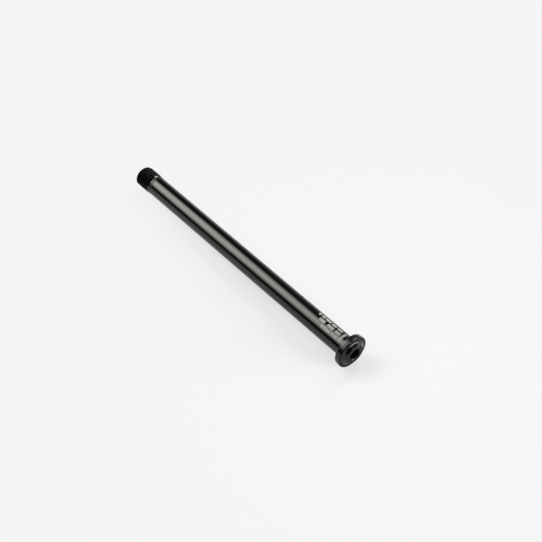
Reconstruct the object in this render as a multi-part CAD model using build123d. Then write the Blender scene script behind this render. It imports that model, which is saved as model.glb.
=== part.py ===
# Bicycle thru axle, turned from one bar: flanged socket head at +X, plain shaft, M12 thread at -X.
# Millimetres, +Z up. The axle lies on z = 0 as it comes to rest, on its flange and its thread's tip.
import math
import os

from build123d import *

# Shaft
under_head_length = 174.0
shaft_d = 11.5
bore_d = 5.6
bore_break = 0.6
seat_fillet = 0.4

# Thread at the tip
thread_d = 12.0
thread_pitch = 1.75
thread_length = 10.7
step_length = 0.95
tip_chamfer = 0.8
first_crest = 1.21
run_out_turns = 0.5

# Head
flange_d = 18.8
rim_width = 3.6
rim_draft = 0.22
rim_back_break = 0.3
rim_front_break = 0.25
rim_line_offset = 2.1
rim_line_width = 0.4
boss_base_d = 14.5
boss_top_d = 11.3
boss_rise = 1.8
boss_fillet = 1.5

# Key socket
key_across_flats = 6.0
key_depth = 9.0
key_mouth_break = 0.12

# Sizes that follow from those above
shaft_r = shaft_d / 2
bore_r = bore_d / 2
thread_r = thread_d / 2
flange_r = flange_d / 2
rim_back_r = flange_r - rim_draft
rim_line_half = rim_line_width / 2
rim_contact = rim_line_offset + rim_line_half
head_height = rim_width + boss_rise
full_length = under_head_length + head_height
key_corner_r = key_across_flats / math.sqrt(3)
mouth_r = key_corner_r + key_mouth_break

# Thread form: 60 degree flanks, crest an eighth of the pitch wide
flank = math.tan(math.radians(30))
groove_depth = 0.6134 * thread_pitch
groove_root_r = thread_r - groove_depth
crest_width = thread_pitch / 8
root_width = thread_pitch - crest_width - 2 * groove_depth * flank
groove_over = 0.05 * thread_pitch
groove_top_r = thread_r + groove_over
groove_top_width = root_width + 2 * (groove_top_r - groove_root_r) * flank

# Blank: half section turned about Z, tip at z = 0, head upwards
seat_z = under_head_length
rim_line_z = seat_z + rim_line_offset
rim_front_z = seat_z + rim_width
boss_base_r = boss_base_d / 2
boss_top_r = boss_top_d / 2
boss_lean = math.atan2(boss_rise, boss_base_r - boss_top_r)
flare = boss_fillet * math.tan(boss_lean / 2)
flare_mid_r = boss_base_r + flare - boss_fillet * math.sin(boss_lean / 2)
flare_mid_z = rim_front_z + boss_fillet * (1 - math.cos(boss_lean / 2))
flare_top_r = boss_base_r - flare * math.cos(boss_lean)
flare_top_z = rim_front_z + flare * math.sin(boss_lean)
fillet_mid = seat_fillet * (1 - math.sqrt(0.5))
section = Polyline(
    (bore_r, full_length),
    (bore_r, bore_break),
    (bore_r + bore_break, 0),
    (thread_r - tip_chamfer, 0),
    (thread_r, tip_chamfer),
    (thread_r, thread_length),
    (shaft_r, thread_length + step_length),
    (shaft_r, seat_z - seat_fillet),
)
section += ThreePointArc(
    (shaft_r, seat_z - seat_fillet),
    (shaft_r + fillet_mid, seat_z - fillet_mid),
    (shaft_r + seat_fillet, seat_z),
)
section += Polyline(
    (shaft_r + seat_fillet, seat_z),
    (rim_back_r - rim_back_break, seat_z),
    (rim_back_r, seat_z + rim_back_break),
    (flange_r, rim_line_z - rim_line_half),
    (flange_r - rim_line_half, rim_line_z),
    (flange_r, rim_line_z + rim_line_half),
    (flange_r, rim_front_z - rim_front_break),
    (flange_r - rim_front_break, rim_front_z),
    (boss_base_r + flare, rim_front_z),
)
section += ThreePointArc(
    (boss_base_r + flare, rim_front_z),
    (flare_mid_r, flare_mid_z),
    (flare_top_r, flare_top_z),
)
section += Polyline(
    (flare_top_r, flare_top_z),
    (boss_top_r, full_length),
    (bore_r, full_length),
)
axle = revolve(Plane.XZ * make_face(section), Axis.Z)

# Socket for the key, with a broken edge at its mouth
key = Plane.XY * RegularPolygon(key_across_flats / 2, 6, major_radius=False)
axle -= Pos(0, 0, full_length - key_depth) * extrude(key, amount=key_depth + 1)
mouth = Cone(mouth_r - key_mouth_break, mouth_r + key_mouth_break, 2 * key_mouth_break)
axle -= Pos(0, 0, full_length) * mouth

# Thread groove, one turn at a time from below the tip, then a run-out that climbs to the surface.
# The first crest meets the surface that the axle lies on, just inside the tip's chamfer.
groove_start_angle = 220.0
first_z = first_crest - 2.5 * thread_pitch + thread_pitch * groove_start_angle / 360
turns = math.floor((thread_length - first_z) / thread_pitch)
groove = Polyline(
    (groove_root_r, -root_width / 2),
    (groove_root_r, root_width / 2),
    (groove_top_r, groove_top_width / 2),
    (groove_top_r, -groove_top_width / 2),
    close=True,
)
groove_face = Plane.XZ * make_face(groove)
for turn in range(turns):
    turn_z = first_z + turn * thread_pitch
    path = Pos(0, 0, turn_z) * Helix(thread_pitch, thread_pitch, groove_root_r)
    cut = sweep(Pos(0, 0, turn_z) * groove_face, path=path, is_frenet=True)
    axle -= Rot(0, 0, groove_start_angle) * cut
last_z = first_z + turns * thread_pitch
run_out_height = run_out_turns * thread_pitch
run_out_angle = math.degrees(math.atan2(groove_depth + groove_over, run_out_height))
slant_pitch = thread_pitch / math.cos(math.radians(run_out_angle))
path = Helix(slant_pitch, run_out_height, groove_root_r, cone_angle=run_out_angle)
cut = sweep(Pos(0, 0, last_z) * groove_face, path=Pos(0, 0, last_z) * path, is_frenet=True)
axle -= Rot(0, 0, groove_start_angle) * cut

# Rest: the line from the thread's first crest to the rim's line lies on the ground
rest_span = under_head_length + rim_contact - first_crest
rest_tilt = math.degrees(math.atan2(flange_r - thread_r, rest_span))
axle = Rot(0, 90 - rest_tilt, 0) * axle
box = axle.bounding_box()
axle = Pos(-(box.min.X + box.max.X) / 2, 0, -box.min.Z) * axle

os.makedirs("parts", exist_ok=True)
export_step(axle, "parts/axle.step")
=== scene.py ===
# %% [markdown]
# # A bicycle thru axle
# The real object is one aluminium bar turned in a lathe: a flanged head with a hexagon socket, a long plain
# shaft, and a short thread at the far end, all black anodised. It lies on its flange and on its thread.
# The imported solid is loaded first, because every size and place here follows it.

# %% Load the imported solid
import math

import bmesh
import bpy
from mathutils import Matrix, Vector


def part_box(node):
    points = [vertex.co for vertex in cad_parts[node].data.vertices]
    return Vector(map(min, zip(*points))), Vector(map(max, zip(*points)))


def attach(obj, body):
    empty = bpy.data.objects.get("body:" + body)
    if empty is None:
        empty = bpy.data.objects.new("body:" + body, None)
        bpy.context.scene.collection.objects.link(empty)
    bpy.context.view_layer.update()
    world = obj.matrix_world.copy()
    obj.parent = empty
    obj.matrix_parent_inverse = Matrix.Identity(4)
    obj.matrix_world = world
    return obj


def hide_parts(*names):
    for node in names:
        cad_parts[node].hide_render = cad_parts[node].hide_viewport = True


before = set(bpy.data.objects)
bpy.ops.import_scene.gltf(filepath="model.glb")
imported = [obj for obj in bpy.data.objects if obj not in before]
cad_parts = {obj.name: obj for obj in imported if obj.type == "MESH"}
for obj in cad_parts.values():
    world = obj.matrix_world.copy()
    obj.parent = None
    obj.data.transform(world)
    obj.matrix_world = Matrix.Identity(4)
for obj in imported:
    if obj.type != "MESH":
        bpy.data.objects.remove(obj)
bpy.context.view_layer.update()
scene = bpy.context.scene
scene.view_settings.view_transform = "Standard"
mm = 0.001

# %% [markdown]
# ## Camera
# The photograph looks down on the axle from the head's side. The far end looks about a seventh smaller than
# the near one, which fixes the distance, so a fairly long lens stands about 0.6 m away. A camera could be
# placed by eye, but two angles and a distance can be measured. A small step to the side then puts the axle
# where it is in the frame.

# %% Where the camera stands
azimuth = math.radians(49.3)
elevation = math.radians(47.88)
focal_pixels = 1145.1
distance = 0.6152
look_at = Vector((19.82, 0.0, 8.11)) * mm
right_pixels = 5.79
up_pixels = 7.31

towards_eye = Vector((
    math.sin(azimuth) * math.cos(elevation),
    -math.cos(azimuth) * math.cos(elevation),
    math.sin(elevation),
))
eye_right = Vector((math.cos(azimuth), math.sin(azimuth), 0))
eye_up = towards_eye.cross(eye_right)
pixel = distance / focal_pixels
aim = look_at + eye_right * right_pixels * pixel + eye_up * up_pixels * pixel
print("one pixel at the axle:", round(pixel / mm, 3), "mm")

# %% Camera
image_pixels = 542
sensor_width = 36


def stand(place, side, up, out):
    return Matrix.Translation(place) @ Matrix((side, up, out)).transposed().to_4x4()


bpy.ops.object.select_all(action="DESELECT")
bpy.ops.object.camera_add()
camera = bpy.context.object
camera.name = "camera"
camera.data.sensor_width = sensor_width
camera.data.lens = sensor_width * focal_pixels / image_pixels
camera.matrix_world = stand(aim + towards_eye * distance, eye_right, eye_up, towards_eye)
scene.camera = camera
print("lens:", round(camera.data.lens, 1), "mm, at", [round(v, 3) for v in camera.location])

# %% [markdown]
# ## Helpers for nodes
# Floor, room, lamps and finishes all need a few sums between nodes. By hand these are boxes and wires in the
# shader editor. Here one helper fills a socket with a number or a wire, one adds a Math node, and one adds a
# Map Range node, which turns one range of numbers into another.

# %% Helpers for nodes
def plug(tree, value, socket):
    if isinstance(value, bpy.types.NodeSocket):
        tree.links.new(value, socket)
    else:
        socket.default_value = value


def math_node(tree, operation, *values):
    node = tree.nodes.new("ShaderNodeMath")
    node.operation = operation
    for value, socket in zip(values, node.inputs):
        plug(tree, value, socket)
    return node.outputs["Value"]


def ramp(tree, value, start, end, at_start, at_end, shape="SMOOTHSTEP"):
    node = tree.nodes.new("ShaderNodeMapRange")
    node.interpolation_type = shape
    plug(tree, value, node.inputs["Value"])
    plug(tree, start, node.inputs["From Min"])
    plug(tree, end, node.inputs["From Max"])
    plug(tree, at_start, node.inputs["To Min"])
    plug(tree, at_end, node.inputs["To Max"])
    return node.outputs["Result"]


print("helpers for nodes: plug, math_node, ramp")

# %% [markdown]
# ## Floor
# The axle lies on white paper. Its shadow is deepest by the head and fades towards the thread, and further
# out the floor is an even white. A curved backdrop would do, but the camera looks down and sees no horizon,
# so a plain plane is enough. Near the head it is lit paper, which keeps the shadow, and it turns to plain
# white with distance, so that no lamp's falloff shows.

# %% Floor
bpy.ops.object.select_all(action="DESELECT")
bpy.ops.mesh.primitive_plane_add(size=30, location=(0, 0, 0))
floor = bpy.context.object
floor.name = "floor"
floor_white = bpy.data.materials.new("floor_white")
floor_white.use_nodes = True
floor.data.materials.append(floor_white)
print("floor:", floor.dimensions[:])

# %% Lit paper
tree = floor_white.node_tree
paper = tree.nodes["Principled BSDF"]
paper.inputs["Base Color"].default_value = (0.80, 0.80, 0.80, 1)
paper.inputs["Roughness"].default_value = 1
paper.inputs["Specular IOR Level"].default_value = 0
print("paper:", [round(v, 2) for v in paper.inputs["Base Color"].default_value])

# %% [markdown]
# The plain white grows with the distance from a point between the axle's middle and its head. Light Path
# tells which rays see it: the camera's own, and those that bounce off something shiny or pass through it.
# Close to the axle the second kind see more of the lit paper, because a mirror shows the shadow too.

# %% How white the floor is
shadow_middle = Vector((0.05, 0, 0))
shadow_core = 0.03
shadow_end = 0.20
place = tree.nodes.new("ShaderNodeTexCoord")
centred = tree.nodes.new("ShaderNodeMapping")
centred.inputs["Location"].default_value = -shadow_middle
plug(tree, place.outputs["Object"], centred.inputs["Vector"])
reach = tree.nodes.new("ShaderNodeVectorMath")
reach.operation = "LENGTH"
plug(tree, centred.outputs["Vector"], reach.inputs[0])
far_out = reach.outputs["Value"]
seen_white = ramp(tree, far_out, shadow_core, shadow_end, at_start=0.68, at_end=1.0)
mirror_white = ramp(tree, far_out, shadow_core, shadow_end, at_start=0.20, at_end=1.0)
print("white grows from", shadow_core, "to", shadow_end, "m from", [round(v, 2) for v in shadow_middle])

# %% Which rays see it white
ray = tree.nodes.new("ShaderNodeLightPath").outputs
straight = math_node(tree, "MULTIPLY", ray["Is Camera Ray"], seen_white)
bounced = math_node(tree, "MAXIMUM", ray["Is Glossy Ray"], ray["Is Transmission Ray"])
mirrored = math_node(tree, "MULTIPLY", bounced, mirror_white)
share = math_node(tree, "MAXIMUM", straight, mirrored)
plain_white = tree.nodes.new("ShaderNodeEmission")
plain_white.inputs["Color"].default_value = (0.91, 0.91, 0.91, 1)
plain_white.inputs["Strength"].default_value = 1
sweep = tree.nodes.new("ShaderNodeMixShader")
plug(tree, share, sweep.inputs["Fac"])
plug(tree, paper.outputs["BSDF"], sweep.inputs[1])
plug(tree, plain_white.outputs["Emission"], sweep.inputs[2])
plug(tree, sweep.outputs["Shader"], tree.nodes["Material Output"].inputs["Surface"])
print(floor_white.name, "with", len(tree.nodes), "nodes")

# %% [markdown]
# ## Room
# The black shaft is a mirror, so the room shows in it. Overhead the studio is dark, and the shaft stays black
# there. Low down behind the axle the room is pale, and the shaft's far edge picks that up. A picture of a
# studio could wrap the scene, but two ramps over the direction do the same: one fades upwards, the other
# rises towards the back.

# %% Room
room_dark = 0.02
world = bpy.data.worlds.new("studio")
world.use_nodes = True
scene.world = world
tree = world.node_tree
place = tree.nodes.new("ShaderNodeTexCoord")
axes = tree.nodes.new("ShaderNodeSeparateXYZ")
plug(tree, place.outputs["Generated"], axes.inputs["Vector"])
low = ramp(tree, axes.outputs["Z"], start=0.0, end=0.45, at_start=0.55, at_end=0.0)
behind = ramp(tree, axes.outputs["Y"], start=-0.1, end=0.6, at_start=0.0, at_end=1.0)
glow = math_node(tree, "MULTIPLY_ADD", low, behind, room_dark)
room = tree.nodes["Background"]
room.inputs["Strength"].default_value = 1
plug(tree, glow, room.inputs["Color"])
print(world.name, "with", len(tree.nodes), "nodes")

# %% [markdown]
# ## Lamps
# Three soft boxes light the axle. Lamps could be moved about until the picture looks right, but on a mirror
# each one's place follows from where its image lies on the metal. Each is an Area lamp that faces the axle's
# middle. Radiance, how bright the cloth looks, is what a mirror shows, so the power is worked out from it:
# Blender takes four watts for each square metre and unit of radiance.

# %% Soft box
axle_middle = Vector((0, 0, 8)) * mm
watts_per_radiance = 4


def soft_box(name, direction, far, across, width, height, radiance):
    direction = Vector(direction).normalized()
    bpy.ops.object.select_all(action="DESELECT")
    bpy.ops.object.light_add(type="AREA")
    lamp = bpy.context.object
    lamp.name = name
    lamp.data.shape = "RECTANGLE"
    lamp.data.size = width
    lamp.data.size_y = height
    lamp.data.energy = radiance * watts_per_radiance * width * height
    side = Vector(across)
    side = (side - direction * side.dot(direction)).normalized()
    lamp.matrix_world = stand(axle_middle + direction * far, side, direction.cross(side), direction)
    print(name, "at", [round(v, 2) for v in lamp.location], "energy", round(lamp.data.energy, 2))
    return lamp


# %% [markdown]
# A real soft box is seldom even. Geometry's Parametric output tells how far across the lamp's cloth a point
# lies, from 0 to 1 each way, so a lamp's strength can fade over it.

# %% Across a lamp's cloth
def cloth_axes(lamp):
    lamp.data.use_nodes = True
    tree = lamp.data.node_tree
    cloth = tree.nodes.new("ShaderNodeNewGeometry")
    axes = tree.nodes.new("ShaderNodeSeparateXYZ")
    plug(tree, cloth.outputs["Parametric"], axes.inputs["Vector"])
    return tree, axes.outputs["X"], axes.outputs["Y"]


print("helpers for lamps: soft_box, cloth_axes")

# %% [markdown]
# The strip box stands over the thread's side, and its image is the long pale strip on the shaft. The strip
# has no hard edge and is paler towards the thread, so the cloth fades as a squared sine from side to side,
# and evenly along the axle.

# %% Strip box
strip_box = soft_box(
    "strip_box", direction=(-0.566, -0.2935, 0.770), far=1.94, across=(1, 0, 0),
    width=0.90, height=3.2, radiance=7.0,
)
tree, along_axle, side_to_side = cloth_axes(strip_box)
hump = math_node(tree, "SINE", math_node(tree, "MULTIPLY", side_to_side, math.pi))
soft_hump = math_node(tree, "POWER", hump, 2)
towards_head = ramp(tree, along_axle, start=0, end=1, at_start=1.11, at_end=0.72, shape="LINEAR")
graded = math_node(tree, "MULTIPLY", soft_hump, towards_head)
plug(tree, graded, tree.nodes["Emission"].inputs["Strength"])
print("strip box fades by", len(tree.nodes), "nodes")

# %% [markdown]
# The low box is a thin strip that leans, on the head's side. Its image is the arc on the head, which is
# brighter at one end, so this cloth fades from its high end to its low one.

# %% Low box
low_box = soft_box(
    "low_box", direction=(0.80, 0.565, 0.215), far=0.8, across=(-0.45, 0.78, -0.36),
    width=0.88, height=0.10, radiance=30,
)
tree, down, _ = cloth_axes(low_box)
fade = ramp(tree, down, start=0, end=1, at_start=1.4, at_end=0.10, shape="LINEAR")
plug(tree, fade, tree.nodes["Emission"].inputs["Strength"])
print("low box fades by", len(tree.nodes), "nodes")

# %% [markdown]
# The back box is tall and narrow. It throws the shadow towards the camera, and its image is the bright patch
# on the step behind the thread. The patch is small, so an even cloth will do.

# %% Back box
soft_box(
    "back_box", direction=(-0.272, 0.66, 0.70), far=2.5, across=(0.98, 0.20, 0),
    width=0.28, height=1.6, radiance=12,
)

# %% [markdown]
# ## The turned bar
# A lathe makes every ring of the axle from one half section. A Screw modifier could turn a drawn section, but
# here a ring of vertices goes the way of the tool, so each size stays readable. It starts in the bore, and is
# drawn out and resized from station to station: round the tip, along the thread and the shaft, over the head
# and back into the bore. A station is a radius and a way along, in millimetres, with the tip at 0 and the
# head upwards.

# %% Stations: bore and tip
bore_r = 2.8
bore_break = 0.6
thread_r = 6.0
tip_chamfer = 0.8
bore_rings = range(160, 0, -20)
stations = [(bore_r, z) for z in bore_rings]
stations += [(bore_r, bore_break), (bore_r + bore_break, 0)]
stations += [(thread_r - tip_chamfer, 0), (thread_r, tip_chamfer)]
print("stations to the tip:", len(stations))

# %% [markdown]
# Behind the thread a short cone steps down to the shaft. It mirrors the back box, so its shading has to stay
# straight. A close ring on each side of its edges keeps the smoothing there.

# %% Stations: thread and step
thread_length = 10.7
step_length = 0.95
shaft_r = 5.75
crease = 0.06
step_end = thread_length + step_length
step_slope = (thread_r - shaft_r) / step_length
stations += [(thread_r, thread_length - crease), (thread_r, thread_length)]
stations += [(thread_r - crease * step_slope, thread_length + crease)]
stations += [(shaft_r + crease * step_slope, step_end - crease)]
stations += [(shaft_r, step_end), (shaft_r, step_end + crease)]
print("step from", thread_length, "to", step_end)

# %% [markdown]
# The shaft is a plain cylinder. It still gets rings, where the satin collar ends and where each lasered bar
# begins and ends, so that a finish can stop on an edge of the mesh and stay crisp.

# %% Stations: shaft
collar_end = 13.9
low_marks = [(156.6, 163.6), (164.2, 168.4)]
mid_marks = [(153.2, 157.2), (159.2, 163.6), (164.8, 168.4)]
top_marks = [(150.4, 152.0), (152.7, 155.1), (155.7, 159.5), (160.3, 163.4), (164.3, 167.7)]
end_mark = (169.2, 170.8)
plain_rings = range(18, 150, 6)
shaft_rings = {collar_end, *plain_rings}
for start, end in [*low_marks, *mid_marks, *top_marks, end_mark]:
    shaft_rings.update((start, end))
stations += [(shaft_r, z) for z in sorted(shaft_rings)]
print("rings on the shaft:", len(shaft_rings))

# %% [markdown]
# On the bicycle the flange bears on the frame. A small fillet joins it to the shaft, its rim leans a little,
# a fine line is turned into the rim, and both its edges are broken.

# %% Stations: fillet under the head
seat_z = 174.0
seat_fillet = 0.4
fillet_steps = 4
for step in range(fillet_steps + 1):
    swing = math.radians(90 * step / fillet_steps)
    r = shaft_r + seat_fillet * (1 - math.cos(swing))
    stations.append((r, seat_z - seat_fillet * (1 - math.sin(swing))))
print("the flange seats at", seat_z)

# %% Stations: flange
flange_r = 9.39
rim_width = 3.6
rim_back_r = 9.18
rim_back_break = 0.3
rim_front_break = 0.25
rim_line = 2.1
rim_line_half = 0.2
front_z = seat_z + rim_width
line_z = seat_z + rim_line
stations += [(rim_back_r - rim_back_break, seat_z), (rim_back_r, seat_z + rim_back_break)]
stations += [(flange_r, line_z - rim_line_half), (flange_r - rim_line_half, line_z)]
stations += [(flange_r, line_z + rim_line_half), (flange_r, front_z - rim_front_break)]
stations.append((flange_r - rim_front_break, front_z))
print("flange from", seat_z, "to", front_z)

# %% [markdown]
# The boss rises from the flange in a round, then as a cone to a flat top. The round gets twelve steps,
# because highlights run over it, and a ring just under the cone's top edge keeps the cone's shading straight.

# %% Stations: boss
boss_base_r = 7.25
boss_top_r = 5.65
boss_rise = 1.8
boss_fillet = 1.5
boss_crease = 0.15
round_steps = 12
full_length = front_z + boss_rise
boss_lean = math.atan2(boss_rise, boss_base_r - boss_top_r)
flare = boss_fillet * math.tan(boss_lean / 2)
for step in range(round_steps + 1):
    swing = boss_lean * step / round_steps
    r = boss_base_r + flare - boss_fillet * math.sin(swing)
    stations.append((r, front_z + boss_fillet * (1 - math.cos(swing))))
cone_slope = (boss_base_r - boss_top_r) / boss_rise
stations.append((boss_top_r + boss_crease * cone_slope, full_length - boss_crease))
stations += [(boss_top_r, full_length), (bore_r, full_length)]
print("boss leans", round(math.degrees(boss_lean), 1), "degrees;", len(stations), "stations")

# %% [markdown]
# With all stations known, the first ring is a circle at the bore's upper end. Extrude moves its edges along
# the axis, and resize brings the new ring to its radius. The last ring meets the first, and merging their
# doubles closes the mesh.

# %% The first ring
ring_segments = 128
bpy.ops.object.select_all(action="DESELECT")
bpy.ops.mesh.primitive_circle_add(
    vertices=ring_segments,
    radius=bore_r * mm,
    location=(0, 0, full_length * mm),
)
axle = bpy.context.object
axle.name = "axle_turned"
bpy.ops.object.transform_apply()
ring = {"r": bore_r, "z": full_length}
print("first ring:", len(axle.data.vertices), "vertices")


# %% Turn the bar
def turn_to(r, z):
    rise = (z - ring["z"]) * mm
    bpy.ops.mesh.extrude_edges_move(TRANSFORM_OT_translate={"value": (0, 0, rise)})
    grow = r / ring["r"]
    bpy.ops.transform.resize(value=(grow, grow, 1), center_override=(0, 0, 0))
    ring.update(r=r, z=z)


bpy.ops.object.mode_set(mode="EDIT")
bpy.ops.mesh.select_all(action="SELECT")
for r, z in stations:
    turn_to(r, z)
bpy.ops.mesh.select_all(action="SELECT")
bpy.ops.mesh.remove_doubles(threshold=0.002 * mm)
bpy.ops.mesh.normals_make_consistent(inside=False)
bpy.ops.object.mode_set(mode="OBJECT")
print("turned bar:", len(axle.data.vertices), "vertices")

# %% [markdown]
# ## Broken edges
# Every edge off the lathe is broken a little, and that thin line is where the light catches. Each could be
# drawn into the section, but a Bevel modifier limited by angle finds them all and leaves the shaft alone.

# %% Break the edges
soften = axle.modifiers.new("edge_break", "BEVEL")
soften.width = 0.1 * mm
soften.segments = 3
soften.limit_method = "ANGLE"
soften.angle_limit = math.radians(28)
bpy.ops.object.modifier_apply(modifier=soften.name)
print("after breaking edges:", len(axle.data.vertices), "vertices")

# %% [markdown]
# ## Key socket
# A six-sided punch sinks the socket, and a countersink breaks its mouth. Inset and extrude could make it too,
# but then the ring of vertices has to meet a hexagon by hand. So both are cut as they are in the workshop,
# with a tool shape and a Boolean.

# %% A cut
def cut_away(tool):
    bpy.ops.object.select_all(action="DESELECT")
    bpy.context.view_layer.objects.active = axle
    axle.select_set(True)
    cut = axle.modifiers.new("cut", "BOOLEAN")
    cut.operation = "DIFFERENCE"
    cut.solver = "EXACT"
    cut.object = tool
    bpy.ops.object.modifier_apply(modifier=cut.name)
    bpy.data.objects.remove(tool)
    print("after the cut:", len(axle.data.vertices), "vertices")


# %% Punch
key_across_flats = 6.0
key_depth = 9.0
key_corner_r = key_across_flats / math.sqrt(3)
bpy.ops.object.select_all(action="DESELECT")
bpy.ops.mesh.primitive_cylinder_add(
    vertices=6,
    radius=key_corner_r * mm,
    depth=2 * key_depth * mm,
    location=(0, 0, full_length * mm),
    rotation=(0, 0, math.radians(30)),
)
cut_away(bpy.context.object)

# %% Countersink
key_mouth_break = 0.12
mouth_r = key_corner_r + key_mouth_break
sink_half = 1.0
bpy.ops.object.select_all(action="DESELECT")
bpy.ops.mesh.primitive_cone_add(
    vertices=ring_segments,
    radius1=(mouth_r - sink_half) * mm,
    radius2=(mouth_r + sink_half) * mm,
    depth=2 * sink_half * mm,
    location=(0, 0, full_length * mm),
)
cut_away(bpy.context.object)

# %% [markdown]
# ## Thread
# A thread is one groove wound round the bar, here 12 mm across with a 1.75 mm pitch. A bump in the material
# would be quicker, but the ridges show in the outline. So the groove's section, a trapezium with 60 degree
# flanks, is wound by a Screw modifier into a cutter, and the cutter is taken off the bar. It starts below the
# tip, at the height that puts the thread's first crest where the axle touches the floor.

# %% Sizes of the groove
thread_pitch = 1.75
flank = math.tan(math.radians(30))
groove_depth = 0.6134 * thread_pitch
groove_root_r = thread_r - groove_depth
crest_width = thread_pitch / 8
root_width = thread_pitch - crest_width - 2 * groove_depth * flank
groove_over = 0.05 * thread_pitch
groove_top_r = thread_r + groove_over
groove_top_width = root_width + 2 * (groove_top_r - groove_root_r) * flank
start_angle = 220.0
first_crest = 1.21
lead_in_turns = 2.5
first_z = first_crest - lead_in_turns * thread_pitch + thread_pitch * start_angle / 360
turns = math.floor((thread_length - first_z) / thread_pitch)
print("groove:", round(groove_depth, 2), "mm deep,", turns, "turns from", round(first_z, 2))

# %% Section of the groove
hair = 0.01
bpy.ops.object.select_all(action="DESELECT")
bpy.ops.mesh.primitive_plane_add(size=1, rotation=(math.radians(90), 0, 0))
cutter = bpy.context.object
cutter.scale = ((groove_top_r - groove_root_r) * mm, groove_top_width * mm, 1)
cutter.location = ((groove_top_r + groove_root_r) / 2 * mm, 0, first_z * mm)
bpy.ops.object.transform_apply()
bpy.ops.object.mode_set(mode="EDIT")
bpy.ops.mesh.delete(type="ONLY_FACE")
section = bmesh.from_edit_mesh(cutter.data)
for v in section.verts:
    v.select_set(v.co.x < (groove_root_r + hair) * mm)
section.select_flush_mode()
narrow = root_width / groove_top_width
bpy.ops.transform.resize(value=(1, 1, narrow), center_override=(0, 0, first_z * mm))
bpy.ops.object.mode_set(mode="OBJECT")
corners = len(cutter.data.vertices)
print("section:", corners, "corners")

# %% Wind the cutter
wind = cutter.modifiers.new("wind", "SCREW")
wind.axis = "Z"
wind.angle = math.tau
wind.screw_offset = thread_pitch * mm
wind.iterations = turns + 1
wind.steps = ring_segments
wind.render_steps = ring_segments
bpy.ops.object.modifier_apply(modifier=wind.name)
print("cutter:", len(cutter.data.vertices), "vertices")

# %% [markdown]
# At the end of a thread the lathe's tool is drawn out of the metal, and the groove grows shallow over half a
# turn. The cutter's last turn is lifted in the same way, section by section, each by a little more.

# %% Run-out
run_out_turns = 0.5
run_out_steps = round(run_out_turns * ring_segments)
bpy.ops.object.mode_set(mode="EDIT")
winding = bmesh.from_edit_mesh(cutter.data)
winding.verts.ensure_lookup_table()
for step in range(1, ring_segments + 1):
    bpy.ops.mesh.select_all(action="DESELECT")
    first = corners * (turns * ring_segments + step)
    for v in winding.verts[first:first + corners]:
        v.select_set(True)
    winding.select_flush_mode()
    lift = (groove_depth + groove_over) * step / run_out_steps
    grow = (groove_root_r + lift) / groove_root_r
    bpy.ops.transform.resize(value=(grow, grow, 1), center_override=(0, 0, 0))
bpy.ops.mesh.select_all(action="SELECT")
bpy.ops.mesh.fill_holes(sides=corners)
bpy.ops.mesh.normals_make_consistent(inside=False)
bpy.ops.object.mode_set(mode="OBJECT")
print("run-out over", run_out_steps, "steps")

# %% [markdown]
# The cutter is turned to the angle at which the thread starts, and by half a step more, so that its vertices
# lie between the bar's own and the Boolean has no shared corners to decide about.

# %% Cut the thread
half_step = 0.5 / ring_segments
cutter.rotation_euler = (0, 0, math.radians(start_angle + 360 * half_step))
cutter.location = (0, 0, thread_pitch * half_step * mm)
bpy.ops.object.select_all(action="DESELECT")
bpy.context.view_layer.objects.active = cutter
cutter.select_set(True)
bpy.ops.object.transform_apply()
cut_away(cutter)

# %% [markdown]
# ## Laying the axle down
# The axle was modelled upright, where a ring is a plain circle. On a table it lies on flange and thread, and
# as the flange is wider, it tips by about a degree. It is turned on to its side, tipped by that angle and
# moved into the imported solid's box, and its place is applied to its mesh.

# %% Turn it on to its side
rest_tilt = math.atan2(flange_r - thread_r, line_z + rim_line_half - first_crest)
axle.rotation_euler = (0, math.radians(90) - rest_tilt, 0)
bpy.ops.object.select_all(action="DESELECT")
bpy.context.view_layer.objects.active = axle
axle.select_set(True)
bpy.ops.object.transform_apply()
print("rests at", round(math.degrees(rest_tilt), 2), "degrees")

# %% Move it into place
solid_low, solid_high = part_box("axle")
xs = [v.co.x for v in axle.data.vertices]
zs = [v.co.z for v in axle.data.vertices]
shift_x = (solid_low.x + solid_high.x - min(xs) - max(xs)) / 2
shift = Vector((shift_x, 0, solid_low.z - min(zs)))
axle.location = shift
bpy.ops.object.transform_apply()
bpy.ops.object.shade_smooth_by_angle(angle=math.radians(30))
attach(axle, "root")
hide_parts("axle")
print("moved by", [round(v / mm, 3) for v in shift], "mm; faces", len(axle.data.polygons))

# %% [markdown]
# ## Rings left by the lathe
# Under the black skin are the fine rings that the lathe's tool left. An image of scratches would need a map
# round the whole bar. Noise along one number needs none: the way along the axle plus the distance from its
# middle line runs in rings on the shaft and in circles on the faces. All finishes have the rings, so they are
# a node group, which puts out a height for the bump and a roughness that also varies in patches.

# %% Sockets of the group
turning = bpy.data.node_groups.new("turning_rings", "ShaderNodeTree")
turning.interface.new_socket("Point", in_out="INPUT", socket_type="NodeSocketVector")
for name in ("Spacing", "Smoothest", "Roughest"):
    turning.interface.new_socket(name, in_out="INPUT", socket_type="NodeSocketFloat")
for name in ("Height", "Roughness"):
    turning.interface.new_socket(name, in_out="OUTPUT", socket_type="NodeSocketFloat")
given = turning.nodes.new("NodeGroupInput").outputs
result = turning.nodes.new("NodeGroupOutput").inputs
print("group", turning.name, "has", len(turning.interface.items_tree), "sockets")

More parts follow.
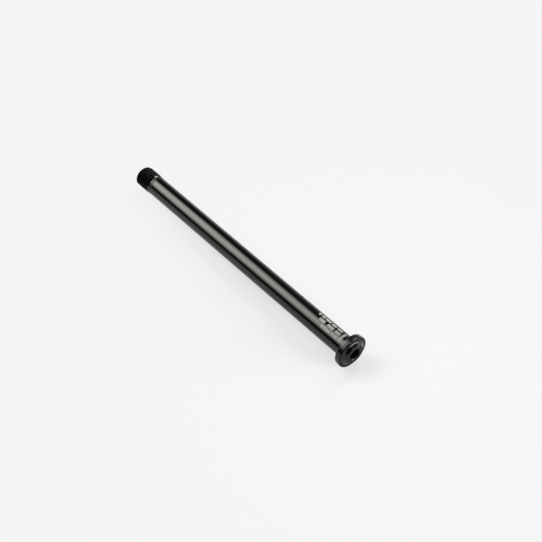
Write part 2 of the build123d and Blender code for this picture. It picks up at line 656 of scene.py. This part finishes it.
# %% Way along the axle, and out from its middle line
along = turning.nodes.new("ShaderNodeMapping")
along.inputs["Rotation"].default_value = (0, rest_tilt, 0)
along.inputs["Location"].default_value = -(Matrix.Rotation(rest_tilt, 3, "Y") @ shift)
plug(turning, given["Point"], along.inputs["Vector"])
axes = turning.nodes.new("ShaderNodeSeparateXYZ")
plug(turning, along.outputs["Vector"], axes.inputs["Vector"])
across = turning.nodes.new("ShaderNodeCombineXYZ")
plug(turning, axes.outputs["Y"], across.inputs["Y"])
plug(turning, axes.outputs["Z"], across.inputs["Z"])
from_middle = turning.nodes.new("ShaderNodeVectorMath")
from_middle.operation = "LENGTH"
plug(turning, across.outputs["Vector"], from_middle.inputs[0])
way = math_node(turning, "ADD", axes.outputs["X"], from_middle.outputs["Value"])
rings_passed = math_node(turning, "DIVIDE", way, given["Spacing"])
print("way along the axle:", len(turning.nodes), "nodes so far")

# %% Height and roughness
tool_marks = turning.nodes.new("ShaderNodeTexNoise")
tool_marks.noise_dimensions = "1D"
tool_marks.inputs["Scale"].default_value = 1
tool_marks.inputs["Detail"].default_value = 3
plug(turning, rings_passed, tool_marks.inputs["W"])
plug(turning, tool_marks.outputs["Fac"], result["Height"])
patches = turning.nodes.new("ShaderNodeTexNoise")
patches.inputs["Scale"].default_value = 90
patches.inputs["Detail"].default_value = 4
plug(turning, given["Point"], patches.inputs["Vector"])
blend = math_node(turning, "ADD", tool_marks.outputs["Fac"], patches.outputs["Fac"])
spread = ramp(
    turning, blend, start=0.6, end=1.4,
    at_start=given["Smoothest"], at_end=given["Roughest"], shape="LINEAR",
)
plug(turning, spread, result["Roughness"])
print("group", turning.name, "with", len(turning.nodes), "nodes")

# %% [markdown]
# ## Finishes
# Black anodising is a thin hard glassy skin on aluminium. The metal under it doesn't show, so a metallic
# shader would be too bright. The finish is a nearly black base, slightly cloudy, under faint mirror images.
# How faint is set by the index of refraction, and the images' slight colour by the specular tint. Each finish
# goes into a slot of its own, with its rings' spacing and depth in millimetres.

# %% A base with faint clouds
def clouded_base(tree, place, base, socket):
    cloud = tree.nodes.new("ShaderNodeTexNoise")
    cloud.inputs["Scale"].default_value = 1400
    cloud.inputs["Detail"].default_value = 5
    plug(tree, place, cloud.inputs["Vector"])
    tone = tree.nodes.new("ShaderNodeValToRGB")
    for element, position, colour in zip(tone.color_ramp.elements, (0.3, 0.7), base):
        element.position = position
        element.color = (*colour, 1)
    plug(tree, cloud.outputs["Fac"], tone.inputs["Fac"])
    plug(tree, tone.outputs["Color"], socket)


# %% A turned finish
def turned_finish(name, base, index, tint, rough, spacing, depth):
    finish = bpy.data.materials.new(name)
    finish.use_nodes = True
    tree = finish.node_tree
    shell = tree.nodes["Principled BSDF"]
    shell.inputs["IOR"].default_value = index
    shell.inputs["Specular Tint"].default_value = (*tint, 1)
    place = tree.nodes.new("ShaderNodeTexCoord").outputs["Object"]
    clouded_base(tree, place, base, shell.inputs["Base Color"])
    rings = tree.nodes.new("ShaderNodeGroup")
    rings.node_tree = turning
    rings.inputs["Spacing"].default_value = spacing * mm
    rings.inputs["Smoothest"].default_value, rings.inputs["Roughest"].default_value = rough
    plug(tree, place, rings.inputs["Point"])
    plug(tree, rings.outputs["Roughness"], shell.inputs["Roughness"])
    relief = tree.nodes.new("ShaderNodeBump")
    relief.inputs["Strength"].default_value = 1
    relief.inputs["Distance"].default_value = depth * mm
    plug(tree, rings.outputs["Height"], relief.inputs["Height"])
    plug(tree, relief.outputs["Normal"], shell.inputs["Normal"])
    axle.data.materials.append(finish)
    slot = len(axle.data.materials) - 1
    print(finish.name, "in slot", slot)
    return slot


# %% [markdown]
# The shaft is glossy. The thread is matt, rougher from the cut, and the collar behind it is satin, so that
# the pale strip grows dim and soft there.

# %% Black of shaft, thread and collar
black = ((0.0015, 0.0015, 0.0015), (0.003, 0.003, 0.003))
olive = (1.0, 1.0, 0.93)
axle.data.materials.clear()
shaft_black = turned_finish(
    "black_anodised", black, index=1.455, tint=olive, rough=(0.11, 0.18), spacing=0.22, depth=0.0002
)
thread_black = turned_finish(
    "matt_thread", black, index=1.20, tint=olive, rough=(0.42, 0.52), spacing=0.15, depth=0.0003
)
collar_black = turned_finish(
    "satin_collar", black, index=1.435, tint=olive, rough=(0.30, 0.38), spacing=0.15, depth=0.0003
)

# %% [markdown]
# Where a laser has bleached the skin it is a warm grey, uneven and dull, and its mirror images have no tint.

# %% Lasered grey
grey = ((0.245, 0.232, 0.212), (0.415, 0.395, 0.362))
untinted = (1.0, 1.0, 1.0)
lasered = turned_finish(
    "lasered_grey", grey, index=1.40, tint=untinted, rough=(0.45, 0.60), spacing=0.22, depth=0.0004
)

# %% [markdown]
# The head's mirror images are a little warmer. The faces that look out of the head, and those in the socket,
# get a copy of its black with fainter mirror images. This is painted shade: it darkens the floor that they
# mirror and dims a glint in the socket.

# %% Black of the head
rose = (1.0, 0.96, 0.93)
head_black = turned_finish(
    "black_head", black, index=1.43, tint=rose, rough=(0.11, 0.18), spacing=0.22, depth=0.0002
)
# A copy of the head's black with fainter mirror images, which paints shade on the front faces and the socket.
front_painted_shade = turned_finish(
    "black_front_painted_shade", black, index=1.22, tint=rose, rough=(0.14, 0.22), spacing=0.22, depth=0.0002
)

# %% [markdown]
# ## Where each finish goes
# A mask in one material could mix all finishes, but on a mirror its soft border would show. Faces are picked
# instead, by their way along the axle, their distance from its middle line and their angle round it, and the
# borders lie on edges of the mesh. The lasered marks are rows of plain bars. A row is given by the first and
# the last step round the shaft that it lies between, and by its bars.

# %% Rows of bars
row_step = 360 / ring_segments
rows = [(19, 25, low_marks), (28, 34, mid_marks), (37, 43, top_marks), (19, 43, [end_mark])]


def in_a_bar(z, angle):
    for first, last, bars in rows:
        if first * row_step < angle < last * row_step:
            if any(start < z < end for start, end in bars):
                return True
    return False


print("bars:", sum(len(bars) for _, _, bars in rows))

# %% Finish at a place
near = 0.1
boss_foot_r = boss_base_r + 0.4


def finish_at(z, out, angle):
    on_shaft = abs(out - shaft_r) < near
    if z < thread_length and out > bore_r + bore_break:
        return thread_black
    if on_shaft and step_end < z < collar_end:
        return collar_black
    if on_shaft and in_a_bar(z, angle):
        return lasered
    rim_front = z > front_z - rim_front_break - hair and out > boss_foot_r
    boss_front = z > full_length - hair
    in_socket = z > full_length - key_depth - hair and out < mouth_r + near
    # The faces looking out of the head and those in the socket get the painted shade.
    if rim_front or boss_front or in_socket:
        return front_painted_shade
    if z > seat_z - hair:
        return head_black
    return shaft_black


# %% Give faces their finish
upright = Matrix.Rotation(-(math.radians(90) - rest_tilt), 3, "Y")
counts = [0] * len(axle.data.materials)
for polygon in axle.data.polygons:
    centre = (upright @ (polygon.center - shift)) / mm
    angle = math.degrees(math.atan2(-centre.x, -centre.y))
    polygon.material_index = finish_at(centre.z, math.hypot(centre.x, centre.y), angle)
    counts[polygon.material_index] += 1
for material, count in zip(axle.data.materials, counts):
    print(material.name, "on", count, "faces")
